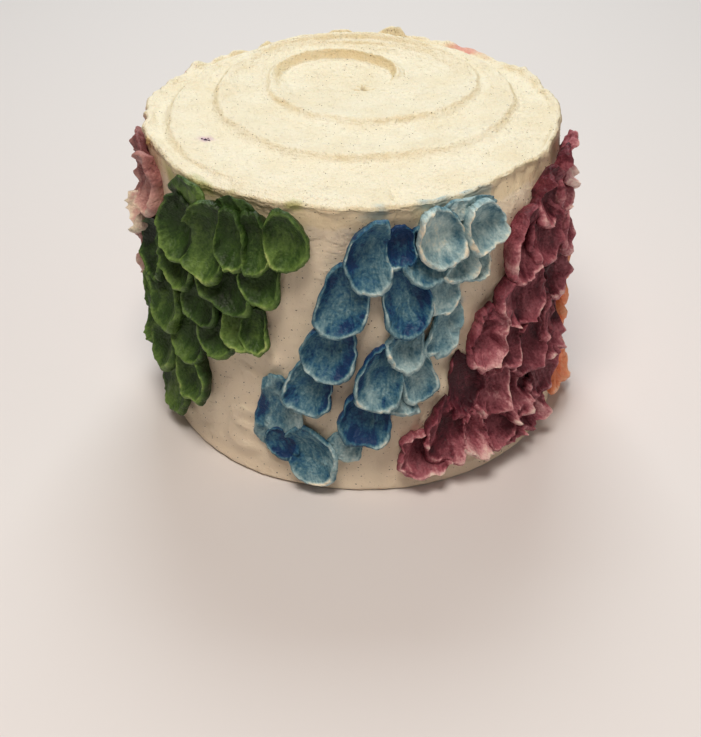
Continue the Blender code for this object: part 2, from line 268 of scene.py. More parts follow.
def top_surface(reach, direction, noise):
    """Points of the top, from their distance and direction from the swirl's centre."""
    shift = 1 - reach / RADIUS
    x = SWIRL_CENTRE[0] * shift + reach * np.cos(np.radians(direction))
    y = SWIRL_CENTRE[1] * shift + reach * np.sin(np.radians(direction))
    height = HEIGHT - TOP_DROP - BOWL_DEPTH * hump(np.hypot(x - BOWL_CENTRE[0], y - BOWL_CENTRE[1]), BOWL_RADIUS)
    turned = np.where(direction < RIDGE_START, direction + 360, direction)
    last = RIDGE_START + RIDGE_STEP * (len(RIDGE_RADII) - 1)
    nearest = np.full(x.shape, 99.0)
    for _ in range(3):
        crest = ridge_radius(turned) + 0.8 * noise.layered(np.stack([x, y, 0 * x], -1), 9.0)
        offset = reach - crest
        height = height + np.where(turned < last, ridge_height(turned, offset), 0.0)
        nearest = np.where(np.abs(offset) < np.abs(nearest), offset, nearest)
        turned = turned + 360
    flat = np.stack([x, y, 0 * x], -1)
    grooves = noise.at(np.stack([nearest * 14, direction * 0.9 + reach, 0 * x], -1), 30.0)
    height = height + 0.24 * grooves + 0.3 * noise.layered(flat, 24.0) + 0.2 * noise.layered(flat + 50, 2.6)
    for middle_x, middle_y, width, rise in TOP_LUMPS:
        height = height + rise * hump(np.hypot(x - middle_x, y - middle_y) + 0.8 * noise.at(flat, 2.0), width)
    return np.stack([x, y, height], -1)


def lip_edge(angle, noise):
    """How far the torn edge of the lip reaches beyond its plain outline."""
    around = np.stack([RADIUS * np.sin(np.radians(angle)), RADIUS * np.cos(np.radians(angle)), 0 * angle], -1)
    torn = 0.5 * noise.layered(around, 7.0) + 0.3 * noise.at(around + 31, 2.5)
    at_back = 1 + 1.4 * hump(angle_between(angle, 180), 85)
    return at_back * (torn + 1.1 * np.maximum(noise.at(around + 52, 3.3), 0.0) ** 2)


def round_points(angle, radius, height):
    """Points round the cake's axis."""
    turned = np.radians(angle)
    return np.stack([radius * np.sin(turned), -radius * np.cos(turned), height + 0 * turned], -1)


def leaning(points):
    """Points in metres, moved sideways by the cake's slight lean."""
    return (points + points[..., 2:] * (LEAN / HEIGHT, 0.0, 0.0)) * MM


def upright(points):
    """Points in millimetres on the plain form, from leaning ones in metres."""
    points = points / MM
    return points - points[..., 2:] * (LEAN / HEIGHT, 0.0, 0.0)


def grid_mesh(name, rows, crown=None):
    """A closed mesh from rows of points, each row a ring, from a crown point to a flat end."""
    loops = np.stack(rows)
    count = loops.shape[1]
    if crown is None:
        crown = loops[0].mean(axis=0)
    foot = loops[-1].mean(axis=0)
    points = np.concatenate([loops.reshape(-1, 3), [crown, foot]])
    here = np.arange(count)
    onward = (here + 1) % count
    faces = [(len(points) - 2, a, b) for a, b in zip(here, onward)]
    for row in range(len(rows) - 1):
        upper = row * count
        lower = upper + count
        faces += list(zip(upper + here, lower + here, lower + onward, upper + onward))
    last = (len(rows) - 1) * count
    faces += [(len(points) - 1, last + b, last + a) for a, b in zip(here, onward)]
    mesh = bpy.data.meshes.new(name)
    mesh.from_pydata(leaning(points).tolist(), [], [tuple(int(v) for v in face) for face in faces])
    return mesh


def smooth_piece(name, mesh, material):
    """Put a smooth-shaded mesh in the scene as a piece that rides on the cake."""
    mesh.polygons.foreach_set("use_smooth", [True] * len(mesh.polygons))
    mesh.update()
    piece = bpy.data.objects.new(name, mesh)
    mesh.materials.append(material)
    bpy.context.scene.collection.objects.link(piece)
    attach(piece, "root")
    return piece


def add_values(mesh, name, values):
    """Store one number, or one vector, for each point of a mesh."""
    values = np.asarray(values, dtype=np.float32)
    if values.ndim == 1:
        mesh.attributes.new(name, "FLOAT", "POINT").data.foreach_set("value", values)
    else:
        mesh.attributes.new(name, "FLOAT_VECTOR", "POINT").data.foreach_set("vector", values.ravel())


# Soft lumps and knife marks on the side: angle, height, width in degrees, length in mm, rise in mm.
SIDE_LUMPS = (
    (-26, 84, 2.2, 5, 1.5), (-23, 59, 2.0, 4, 1.5), (-31, 62, 3.0, 6, 0.8), (-12, 90, 3.0, 9, 0.5),
    (-16, 118, 4.0, 7, 0.5), (38, 92, 3.0, 8, 0.6), (30, 60, 2.0, 6, 0.7), (-75, 60, 3.0, 20, 0.9),
    (75, 40, 3.0, 14, 0.7), (-36, 12, 5.0, 5, 0.9), (20, 8, 6.0, 4, 0.7))
# Raised knife edges on the side: angle, height, half-length in mm, slope in degrees, rise in mm.
KNIFE_EDGES = (
    (-34, 30, 9, 12, 1.6), (-33, 22, 9, -10, 1.3), (-27, 38, 12, 80, 1.2), (-40, 20, 9, 70, 1.0),
    (-30, 50, 9, -25, 1.1), (-34, 12, 12, 12, 1.0), (-8, 108, 14, 85, 0.7), (-14, 100, 12, 80, 0.7),
    (36, 110, 9, 75, 1.0), (39, 88, 8, 20, 0.8), (39, 70, 12, 70, 0.7), (2, 76, 9, 70, 0.7), (-6, 62, 8, 10, 0.7),
    (-76, 90, 15, 88, 1.0), (-78, 60, 12, 80, 1.0), (-22, 9, 16, 4, 0.9), (8, 8, 14, -4, 0.9),
    (30, 5, 12, -3, 0.8), (-50, 9, 10, 10, 0.8), (14, 34, 8, 60, 0.8), (8, 22, 7, -40, 0.7))


def side_relief(angle, height, noise):
    """How far the side stands out of or into its plain form: scraper marks, lumps, edges and pits."""
    points = round_points(angle, RADIUS, height)
    rough = 0.35 + 0.65 * smooth_step(0.5 + 1.5 * noise.at(points + 160, 22.0))
    relief = 0.35 * noise.layered(points, 26.0)
    relief += 0.24 * rough * noise.layered(points * (0.35, 0.35, 1.5) + 40, 9.0, 2)
    relief += 0.2 * noise.at(points * (1.0, 1.0, 0.1) + 20, 3.6)
    relief += 0.08 * rough * noise.layered(points + 80, 4.0, 2)
    for middle, level, width, length, rise in SIDE_LUMPS:
        spread = np.hypot(angle_between(angle, middle) / width, (height - level) / length * 1.6)
        relief += rise * np.exp(-spread ** 2.5)
    for middle, level, reach, slope, rise in KNIFE_EDGES:
        across = angle_between(angle, middle) * ARC_PER_DEGREE
        along = across * math.cos(math.radians(slope)) + (height - level) * math.sin(math.radians(slope))
        beside = (height - level) * math.cos(math.radians(slope)) - across * math.sin(math.radians(slope))
        beside += 0.5 * noise.at(points + 11, 5.0) + along ** 2 / reach / 5
        edge = np.where(beside > 0, np.exp(-(beside / 1.1) ** 2), np.exp(-np.abs(beside) / 3.0))
        relief += rise * edge * smooth_step(1.3 - np.abs(along) / reach)
    pits = noise.at(points + 120, 1.9)
    relief -= 0.25 * smooth_step((pits - 0.68) * 4)
    return relief


def icing_rows():
    """Rings of the cake's body, from the swirl over the torn lip and down to the base."""
    noise = Noise(5)
    spokes = np.arange(COLUMNS) * 360.0 / COLUMNS
    angle = spokes + 90
    rows = []
    for ring in range(1, TOP_RINGS + 1):
        reach = TOP_REACH * (ring / TOP_RINGS) ** 0.9
        rows.append(top_surface(np.full(COLUMNS, reach), spokes, noise))
    rim = rim_radius(angle) + lip_edge(angle, noise)
    edge = round_points(angle, RADIUS, 0.0)
    crest = rim_height(angle) + 0.45 * noise.layered(edge, 6.0)
    at_back = hump(angle_between(angle, 180), 95)
    crest += (1.3 + 1.4 * at_back) * np.maximum(noise.at(edge + 90, 4.0), 0.0) ** 2
    crest += at_back * (1.7 * noise.at(edge + 70, 5.0) + 0.7 * noise.at(edge + 77, 2.8))
    inner = np.hypot(rows[-1][:, 0], rows[-1][:, 1])
    inner_height = rows[-1][:, 2]
    for share in (0.25, 0.5, 0.75):
        reach = inner + (rim - 1.5 - inner) * share
        rise = inner_height + (crest - inner_height) * smooth_step(share)
        points = round_points(angle, reach, rise)
        points[:, 2] += 0.12 * noise.layered(points, 4.0)
        rows.append(points)
    hang = noise.layered(round_points(angle, RADIUS, 60.0), 9.0)
    thickness = 1.7 + 1.5 * np.maximum(hang, -0.5) + 0.5 * noise.at(round_points(angle, RADIUS, 20.0), 2.5)
    rows.append(round_points(angle, rim - 1.5, crest))
    rows.append(round_points(angle, rim - 0.9, crest - 0.3))
    rows.append(round_points(angle, rim - 0.4, crest - 0.8))
    rows.append(round_points(angle, rim - 0.1, crest - 0.5 - 0.6 * thickness))
    rows.append(round_points(angle, rim, crest - 0.5 - thickness))
    under = crest - 0.6 - thickness
    start = under - 0.5
    for row in range(SIDE_ROWS):
        share = row / (SIDE_ROWS - 1)
        height = start + (FOOT_HEIGHT - start) * share
        radius = wall_radius(angle, height) + side_relief(angle, height, noise)
        flare = smooth_step(1 - (under - height) / FLARE_HEIGHT)
        lip = rim_radius(angle) - FLARE_GAP
        lip += (rim - 0.35 - lip) * smooth_step(1 - (under - height) / LIP_FILLET)
        rows.append(round_points(angle, radius + flare * (lip - radius), height))
    for row in range(1, FOOT_ROWS + 1):
        height = FOOT_HEIGHT * (1 - row / FOOT_ROWS)
        radius = wall_radius(angle, height) + side_relief(angle, height + 0 * angle, noise)
        radius -= 0.8 * smooth_step(1 - height / 1.2) * (row == FOOT_ROWS)
        rows.append(round_points(angle, radius, height))
    return rows


# Stains on the icing: name, angle, height and their width in degrees and mm.
RIM_STAINS = {
    "stain_green": ((-15, 130, 2.5, 2), (-45, 128, 9, 3), (-30, 127, 4, 3), (-57, 126, 4, 4)),
    "stain_blue": ((22, 129, 6, 4), (33, 129, 7, 4), (5, 128, 4, 3), (-22, 20, 6, 9), (26, 88, 3, 8)),
    "stain_red": ((-82, 128, 4, 3), (-90, 127, 6, 4), (142, 130, 7, 3)),
    # The yellow at 51 degrees is painted shade beneath the lip's notch; the other yellow marks are stains.
    "stain_yellow_and_painted_shade": ((-73, 129, 3, 2), (51, 126, 5, 1.6), (195, 130, 6, 3)),
}


def icing_values(mesh):
    """How much each stain colours each point of the body, where the painted warm shade of the steep flanks near the
    top lies, and which points lie on the side, which get a painted warm shade too.
    """
    points = np.empty(len(mesh.vertices) * 3, dtype=np.float32)
    mesh.vertices.foreach_get("co", points)
    points = upright(points.reshape(-1, 3).astype(float))
    angle = np.degrees(np.arctan2(points[:, 0], -points[:, 1]))
    noise = Noise(9)
    mottle = noise.layered(points, 5.0)
    for name, places in RIM_STAINS.items():
        stain = np.zeros(len(points))
        for middle, level, width, length in places:
            spread = np.hypot(angle_between(angle, middle) / width, (points[:, 2] - level) / length)
            stain = np.maximum(stain, smooth_step(1.25 - spread + 0.5 * mottle))
        near_edge = np.hypot(points[:, 0], points[:, 1]) > RADIUS - 2.5
        add_values(mesh, name, stain * near_edge)
    speck = np.hypot(points[:, 0] - PURPLE_BITS[0][0], points[:, 1] - PURPLE_BITS[0][1])
    lilac = smooth_step(1 - speck / 4.5 + 0.3 * mottle) * (points[:, 2] > HEIGHT - 10)
    add_values(mesh, "stain_lilac", lilac)
    normals = np.empty(len(mesh.vertices) * 3, dtype=np.float32)
    mesh.vertices.foreach_get("normal", normals)
    # Painted warm shade: steep flanks near the top, most of all round the swirl's inner bowl, get a warm yellow tint
    # that stands in for their shade and bounced light.
    steep = smooth_step((0.97 - normals[2::3]) / 0.3) * (points[:, 2] > HEIGHT - 9)
    inside = hump(np.hypot(points[:, 0], points[:, 1] - 40), 40)
    hollow = steep * (0.45 + 0.55 * inside)
    add_values(mesh, "painted_warm_shade", hollow)
    # Points on the side: the ivory material paints a warm shade on them and smooths their fine bump.
    add_values(mesh, "side_mask_and_painted_shade", smooth_step((0.75 - normals[2::3]) / 0.5) * (points[:, 2] < HEIGHT - 1))


def on_wall(angle, height, out):
    """Points at angles and heights that stand out of the side wall, or of the lip above it."""
    radius = RADIUS + out + 2.6 * smooth_step((height - 117) / 9)
    return round_points(angle, radius, height)


class Petal:
    """One dab of a palette knife: a dished tongue whose foot stands out and whose tip lies back."""

    def __init__(self, row, noise, seed, ripple, fineness):
        self.angle, self.height, width, length, lean, self.rise, self.tone = row
        self.half_width = width * ARC_PER_DEGREE / 2
        self.half_length = length / 2
        self.slope = math.radians(lean)
        self.noise = noise
        self.seed = seed
        chance = np.random.default_rng(seed)
        self.tall_side = chance.choice((-1.0, 1.0), p=(0.7, 0.3)) * chance.uniform(0.35, 1.0)
        self.bend = chance.uniform(-0.07, 0.07) * length
        self.depth = chance.uniform(0.85, 1.2)
        self.hollow = chance.uniform(-0.25, 0.25)
        self.power = chance.uniform(*OUTLINE_POWERS)
        self.crest = chance.uniform(0.5, 1.2)
        self.flat = smooth_step((SMEAR_RISE - self.rise) / 1.0)
        self.ripple = ripple * chance.uniform(0.7, 1.3) * (0.75 + 0.65 * self.tone)
        self.sectors, self.rings = fineness

    def around(self, up, side):
        """A place for noise that runs round the outline, different for each petal."""
        return np.stack([up * 3, side * 3, 0 * up + self.seed * 1.7], -1)

    def outline(self, up, side):
        """How far the outline lies from the middle in a direction, as a share of the half sizes."""
        plain = (np.abs(up) ** self.power + np.abs(side) ** self.power) ** (-1 / self.power)
        around = self.around(up, side)
        ragged = 0.1 * self.noise.at(around, 2.1) + (0.03 + 0.03 * self.ripple) * self.noise.at(around + 9, 0.6)
        return plain * (1 + ragged + 0.02 * (0.4 + self.ripple) * self.noise.at(around + 17, 0.25))

    def place(self, ahead, aside):
        """Angle and height of places given along and across the petal, as shares of its half sizes."""
        along = ahead * self.half_length
        across = aside * self.half_width * (1 - PETAL_TAPER * np.clip(ahead, -1, 1))
        across = across + self.bend * (1 - ahead ** 2)
        height = self.height + along * math.cos(self.slope) - across * math.sin(self.slope)
        shift = across * math.cos(self.slope) + along * math.sin(self.slope)
        return self.angle + shift / ARC_PER_DEGREE, height

    def find(self, angle, height):
        """The share of the way from the middle to the outline, and the direction, of places on the wall."""
        shift = angle_between(angle, self.angle) * ARC_PER_DEGREE
        drop = height - self.height
        along = drop * math.cos(self.slope) + shift * math.sin(self.slope)
        across = shift * math.cos(self.slope) - drop * math.sin(self.slope)
        ahead = along / self.half_length
        across = across - self.bend * (1 - ahead ** 2)
        aside = across / self.half_width / (1 - PETAL_TAPER * np.clip(ahead, -1, 1))
        reach = np.maximum(np.hypot(ahead, aside), 1e-6)
        up = ahead / reach
        side = aside / reach
        return reach / self.outline(up, side), up, side

    def rim(self, up, side):
        """How far the rim stands out, in each direction."""
        down = (1 - np.clip(up * 1.1, -1, 1)) / 2
        level = self.rise * (RIM_AT_TIP + (1 - RIM_AT_TIP) * down ** 0.8)
        beside = 1 - smooth_step(0.2 - 0.9 * up)
        around = self.around(up, side)
        torn = np.maximum(self.noise.at(around + 20, 0.5), 0.0) ** 2 * (0.8 + 1.3 * self.ripple)
        torn += (0.4 + 1.2 * self.ripple) * self.noise.at(around + 35, 1.6)
        return level + 0.2 * self.rise * side * self.tall_side * beside + torn * (0.4 + 0.6 * down)

    def face(self, share, up, side):
        """How far the dished face stands out, without its streaks."""
        ahead = np.clip(up * share * 1.05, -1, 1)
        down = (1 - ahead) / 2
        floor = self.rise * (FLOOR_AT_TIP + (FLOOR_AT_FOOT - FLOOR_AT_TIP) * down ** 1.5) * self.depth
        floor = floor + 0.45 * self.rise * self.flat
        rim = self.rim(up, side)
        level = self.rise * (RIM_AT_TIP + (1 - RIM_AT_TIP) * down ** 0.8)
        blend = share ** 4
        lifted = level * (1 - blend) + rim * blend
        lifted = lifted + 0.85 * self.flat * (floor - lifted)
        power = DISH_POWER * (1 + self.hollow * side)
        return floor + (lifted - floor) * np.minimum(share, 1.0) ** power

    def streaks(self, local, share):
        """Unevenness that the knife drew along the dab: fine streaks, soft lumps and sharp folds."""
        noise = self.noise
        drawn = noise.at(local * (1.0, 0.14, 1.0), 1.3) + 0.7 * noise.at(local * (1.0, 0.4, 1.0) + 40, 4.5)
        lumpy = noise.at(local + 70, 1.6) + 0.7 * noise.at(local + 15, 0.8)
        bent = local + 2.2 * noise.at(local + 130, 7.0)[..., None] * (1.0, 0.3, 0.0)
        folds = 1.5 - 3.2 * np.abs(noise.at(bent * (1.0, 0.5, 1.0) + 90, 9.0))
        folds -= 1.1 * np.abs(noise.at(bent * (1.0, 0.6, 1.0) + 60, 4.5))
        folds = np.maximum(folds, -0.9) * (0.4 + 0.6 * share)
        relief = (0.2 + 0.14 * self.ripple) * drawn * (1 - 0.4 * share) + 0.2 * (0.6 + 0.4 * self.ripple) * lumpy
        return relief + FOLD_RISE * max(self.ripple - 0.15, 0.0) * folds, folds

    def rows(self, later):
        """Rings from the middle of the face to the back in the wall, pressed in by the later dabs."""
        turn = np.arange(self.sectors) * 2 * math.pi / self.sectors
        up = np.cos(turn)
        side = np.sin(turn)
        outline = self.outline(up, side)
        around = self.around(up, side)
        rim_mask = (0.35 + 0.65 * smooth_step(0.9 - 0.6 * up)) * (1 - 0.7 * self.flat)
        foot = smooth_step(0.3 - 0.9 * up)
        size = math.hypot(self.half_width, self.half_length) / math.sqrt(2)
        crest_rise = CREST_RISE * self.crest * rim_mask * (0.6 + 0.7 * self.noise.at(around + 60, 1.0))
        shares = []
        outs = []
        edges = []
        creases = []
        for ring in range(1, self.rings + 1):
            share = math.sin(ring / self.rings * math.pi / 2)
            shares.append(outline * share)
            local = self.local(up * outline * share, side * outline * share)
            crest = crest_rise * math.exp(-((share - 0.97) / 0.04) ** 2)
            relief, folds = self.streaks(local, share)
            outs.append(np.maximum(self.face(share, up, side) + relief + crest, THINNEST))
            creases.append(folds)
            edges.append(rim_mask * smooth_step((share - 0.91) / 0.07))
        wobble = (0.2 + 0.6 * self.ripple) * self.noise.at(around + 50, 0.8)
        rim = outs[-1]
        for outside, part in SIDE_STEPS:
            shares.append(outline * (1 + (outside * (1 + 1.1 * foot) + wobble * (part > 0)) / size))
            outs.append(rim * part if part > 0 else np.full(self.sectors, self.rise * part))
            edges.append(rim_mask * max(part, 0.0) ** 6)
            creases.append(folds)
        share = np.stack(shares)
        out = np.stack(outs)
        angle, height = self.place(up * share, side * share)
        grain = self.local(up * share, side * share)
        drift = DRIFT * (0.25 + self.ripple)
        angle = angle + drift * self.noise.at(grain + 200, 5.0) / ARC_PER_DEGREE
        height = height + drift * self.noise.at(grain + 260, 5.0)
        for other in later:
            spread = abs(angle_between(other.angle, self.angle)) * ARC_PER_DEGREE
            if spread < 32 and abs(other.height - self.height) < 36:
                covered, other_up, other_side = other.find(angle, height)
                pressed = other.face(covered, other_up, other_side) - PRESSED_BY - 1.8 * self.ripple
                out = np.where(covered < 0.97, np.minimum(out, pressed), out)
        inner = np.hypot(up * share, side * share) / outline
        # Painted shade and light: the tone darkens towards the tip, where the rim above shades the dish, and lightens
        # towards the foot; fold creases get darker and fold crests lighter.
        tone = self.tone - TIP_PAINTED_SHADE * up * share + FOLD_PAINTED_SHADE * self.ripple * np.stack(creases)
        return on_wall(angle, height, out), {"grain": grain, "edge": np.stack(edges), "inner": inner, "tone": tone}

    def local(self, ahead, aside):
        """Places in millimetres on the petal itself, set apart from the other petals'."""
        return np.stack([aside * self.half_width, ahead * self.half_length, 0 * aside + self.seed * 13.0], -1)


def petal_band(name, rows, material, ripple, fineness):
    """One band of dabs as one piece in place of its solid; smears came first and the upper dabs last."""
    noise = Noise(sum(ord(letter) for letter in name))
    petals = [Petal(row, noise, index + 1, ripple, fineness) for index, row in enumerate(rows)]
    petals.sort(key=lambda petal: (petal.flat < 0.5, petal.height - petal.half_length))
    points = []
    faces = []
    values = {}
    start = 0
    sectors = fineness[0]
    here = np.arange(sectors)
    onward = (here + 1) % sectors
    for index, petal in enumerate(petals):
        loops, fields = petal.rows(petals[index + 1:])
        count = len(loops)
        points += [loops.reshape(-1, 3), loops[:1].mean(axis=1), loops[-1:].mean(axis=1)]
        for key, field in fields.items():
            flat = field.reshape(count * sectors, -1)
            values.setdefault(key, []).extend([flat, flat[:sectors].mean(axis=0), flat[-sectors:].mean(axis=0)])
        crown = start + count * sectors
        # The sectors run clockwise as seen from outside.
        faces += [(crown, start + b, start + a) for a, b in zip(here, onward)]
        for row in range(count - 1):
            upper = start + row * sectors
            lower = upper + sectors
            faces += list(zip(upper + onward, lower + onward, lower + here, upper + here))
        last = start + (count - 1) * sectors
        faces += [(crown + 1, last + a, last + b) for a, b in zip(here, onward)]
        start = crown + 2
    mesh = bpy.data.meshes.new(name)
    mesh.from_pydata(leaning(np.concatenate(points)).tolist(), [], [tuple(int(v) for v in f) for f in faces])
    for key, parts in values.items():
        add_values(mesh, key, np.squeeze(np.vstack(parts)))
    piece = smooth_piece(name + "_icing", mesh, material)
    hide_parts(name)
    return piece


def even_petals(name, top_angle, first_row=0, pressed=0.75):
    """The dabs of a band in staggered rows, each a little different; the top row is pressed flatter."""
    chance = random.Random(name)
    petals = []
    rows = int((BAND_TOP - BAND_BOTTOM) / ROW_PITCH) + 1
    for row in range(first_row, rows):
        drop = ROW_PITCH * row
        for offset in ROW_OFFSETS[row % 2]:
            sunk = MIDDLE_DROP if offset == 0 else 0.0
            petals.append((
                top_angle - BAND_SLOPE * drop + offset + chance.uniform(-ANGLE_VARIATION, ANGLE_VARIATION),
                BAND_TOP - drop - sunk + chance.uniform(-HEIGHT_VARIATION, HEIGHT_VARIATION),
                chance.uniform(*PETAL_WIDTHS),
                chance.uniform(*PETAL_LENGTHS),
                chance.uniform(*LEANS),
                chance.uniform(*PETAL_RISES) * (pressed if row == 0 else 1.0),
                0.3 + 0.07 * ((7 * row + int(offset)) % 5)))
    return tuple(petals)


class Nodes:
    """Short names for building one material's nodes."""

    def __init__(self, name):
        self.material = bpy.data.materials.new(name)
        self.material.use_nodes = True
        self.tree = self.material.node_tree
        self.shader = self.tree.nodes["Principled BSDF"]

    def add(self, kind, **values):
        """Add a node; values name its properties, or its inputs with underscores for spaces."""
        node = self.tree.nodes.new(kind)
        for key, value in values.items():
            if hasattr(node, key):
                setattr(node, key, value)
            else:
                self.feed(node.inputs[key.replace("_", " ")], value)
        return node

    def feed(self, socket, value):
        """Link an output to a socket, or set a plain value on it."""
        if isinstance(value, bpy.types.NodeSocket):
            self.tree.links.new(value, socket)
        else:
            socket.default_value = value

    def maths(self, operation, first, second, clamp=False):
        node = self.add("ShaderNodeMath", operation=operation, use_clamp=clamp)
        self.feed(node.inputs[0], first)
        self.feed(node.inputs[1], second)
        return node.outputs[0]

    def mix(self, share, first, second):
        node = self.add("ShaderNodeMix", data_type="RGBA")
        self.feed(node.inputs[0], share)
        self.feed(node.inputs[6], first)
        self.feed(node.inputs[7], second)
        return node.outputs[2]

    def attribute(self, name, vector=False):
        node = self.add("ShaderNodeAttribute", attribute_name=name)
        return node.outputs["Vector" if vector else "Fac"]

    def noise(self, vector, scale, detail=3.0, distortion=0.0):
        node = self.add("ShaderNodeTexNoise", Vector=vector, Scale=scale, Detail=detail, Distortion=distortion)
        return node.outputs["Fac"]

    def ramp(self, value, *stops):
        node = self.add("ShaderNodeValToRGB")
        self.feed(node.inputs[0], value)
        elements = node.color_ramp.elements
        while len(elements) < len(stops):
            elements.new(1.0)
        for element, (position, colour) in zip(elements, stops):
            element.position = position
            element.color = (*colour, 1.0)
        return node.outputs[0]


def linear(red, green, blue):
    """A colour given as 8-bit sRGB values, as linear values."""
    return tuple(
        value / 255 / 12.92 if value <= 10 else ((value / 255 + 0.055) / 1.055) ** 2.4
        for value in (red, green, blue))


IVORY = linear(234, 230, 209)
IVORY_WARM = linear(229, 221, 194)
# Dark bits in the icing: place on the top, then size in mm.
PURPLE_BITS = ((-59.0, -26.0, 1.3), (-57.6, -26.6, 0.8), (-60.5, -25.6, 0.7), (-58.2, -24.2, 0.5))
# A crumb and lumps on the side: angle, height and size in mm.
CRUMBS = ((-6.0, 53.0, 1.7), (-5.0, 51.6, 0.9), (-71.5, 129.0, 1.2))


def finish_shader(nodes, colour, roughness, height, distance, scatter):
    """Connect the shared inputs of a buttercream's shader."""
    shader = nodes.shader
    nodes.feed(shader.inputs["Base Color"], colour)
    nodes.feed(shader.inputs["Roughness"], roughness)
    bump = nodes.add("ShaderNodeBump", Strength=1.0, Distance=distance, Height=height)
    nodes.feed(shader.inputs["Normal"], bump.outputs[0])
    shader.inputs["Metallic"].default_value = 0.0
    shader.inputs["IOR"].default_value = 1.45
    shader.inputs["Specular IOR Level"].default_value = 0.4
    shader.inputs["Subsurface Weight"].default_value = scatter
    shader.inputs["Subsurface Radius"].default_value = (1.0, 0.7, 0.4)
    shader.inputs["Subsurface Scale"].default_value = 0.002
    return nodes.material


def ivory_material():
    """Ivory buttercream: warm mottling, fine vanilla specks, air holes, the stains at the rim, and painted warm shade
    on the side wall and on the steep flanks of the top.
    """
    nodes = Nodes("ivory_buttercream")
    place = nodes.add("ShaderNodeTexCoord").outputs["Object"]
    mottle = nodes.noise(place, 60.0, 4.0)
    colour = nodes.ramp(mottle, (0.3, IVORY_WARM), (0.62, IVORY))
    for name, stain, strength in (
            # The first tint here is painted warm shade on the side wall; the stains follow.
            ("side_mask_and_painted_shade", linear(233, 217, 193), 0.9), ("stain_green", linear(150, 168, 84), 0.8), ("stain_blue", linear(140, 180, 196), 0.75),
            ("stain_red", linear(214, 120, 118), 0.75), ("stain_yellow_and_painted_shade", linear(222, 180, 92), 0.8),
            # The last tint here is painted warm shade on the steep flanks near the top.
            ("stain_lilac", linear(196, 160, 190), 0.8), ("painted_warm_shade", linear(226, 204, 150), 0.75)):
        share = nodes.maths("MULTIPLY", nodes.attribute(name), strength)
        colour = nodes.mix(share, colour, (*stain, 1.0))
    fleck = nodes.noise(place, 900.0, 2.0)
    fleck_share = nodes.maths("MULTIPLY", nodes.maths("SUBTRACT", fleck, 0.685, clamp=True), 9.0, clamp=True)
    colour = nodes.mix(nodes.maths("MULTIPLY", fleck_share, 0.65), colour, (*linear(120, 96, 66), 1.0))
    rough = nodes.ramp(nodes.noise(place, 120.0), (0.3, (0.5,) * 3), (0.7, (0.66,) * 3))
    pits = nodes.maths("SUBTRACT", nodes.noise(place, 700.0, 2.0), 0.62, clamp=True)
    fine = nodes.maths("ADD", nodes.noise(place, 1300.0, 2.0), nodes.maths("MULTIPLY", nodes.noise(place, 380.0), 1.8))
    fine = nodes.maths("SUBTRACT", fine, nodes.maths("MULTIPLY", pits, 4.0))
    side = nodes.attribute("side_mask_and_painted_shade")
    smoother = nodes.maths("SUBTRACT", 1.0, nodes.maths("MULTIPLY", side, 0.72))
    fine = nodes.maths("MULTIPLY", fine, smoother)
    # The scraper left thin layers with crisp edges on the side.
    for scale, level in ((30.0, 0.54), (58.0, 0.6)):
        layer = nodes.maths("SUBTRACT", nodes.noise(place, scale, 3.0, 0.8), level, clamp=True)
        layer = nodes.maths("MULTIPLY", layer, 16.0, clamp=True)
        fine = nodes.maths("ADD", fine, nodes.maths("MULTIPLY", layer, nodes.maths("MULTIPLY", side, 0.4)))
    return finish_shader(nodes, colour, rough, fine, 0.0006, 0.1)


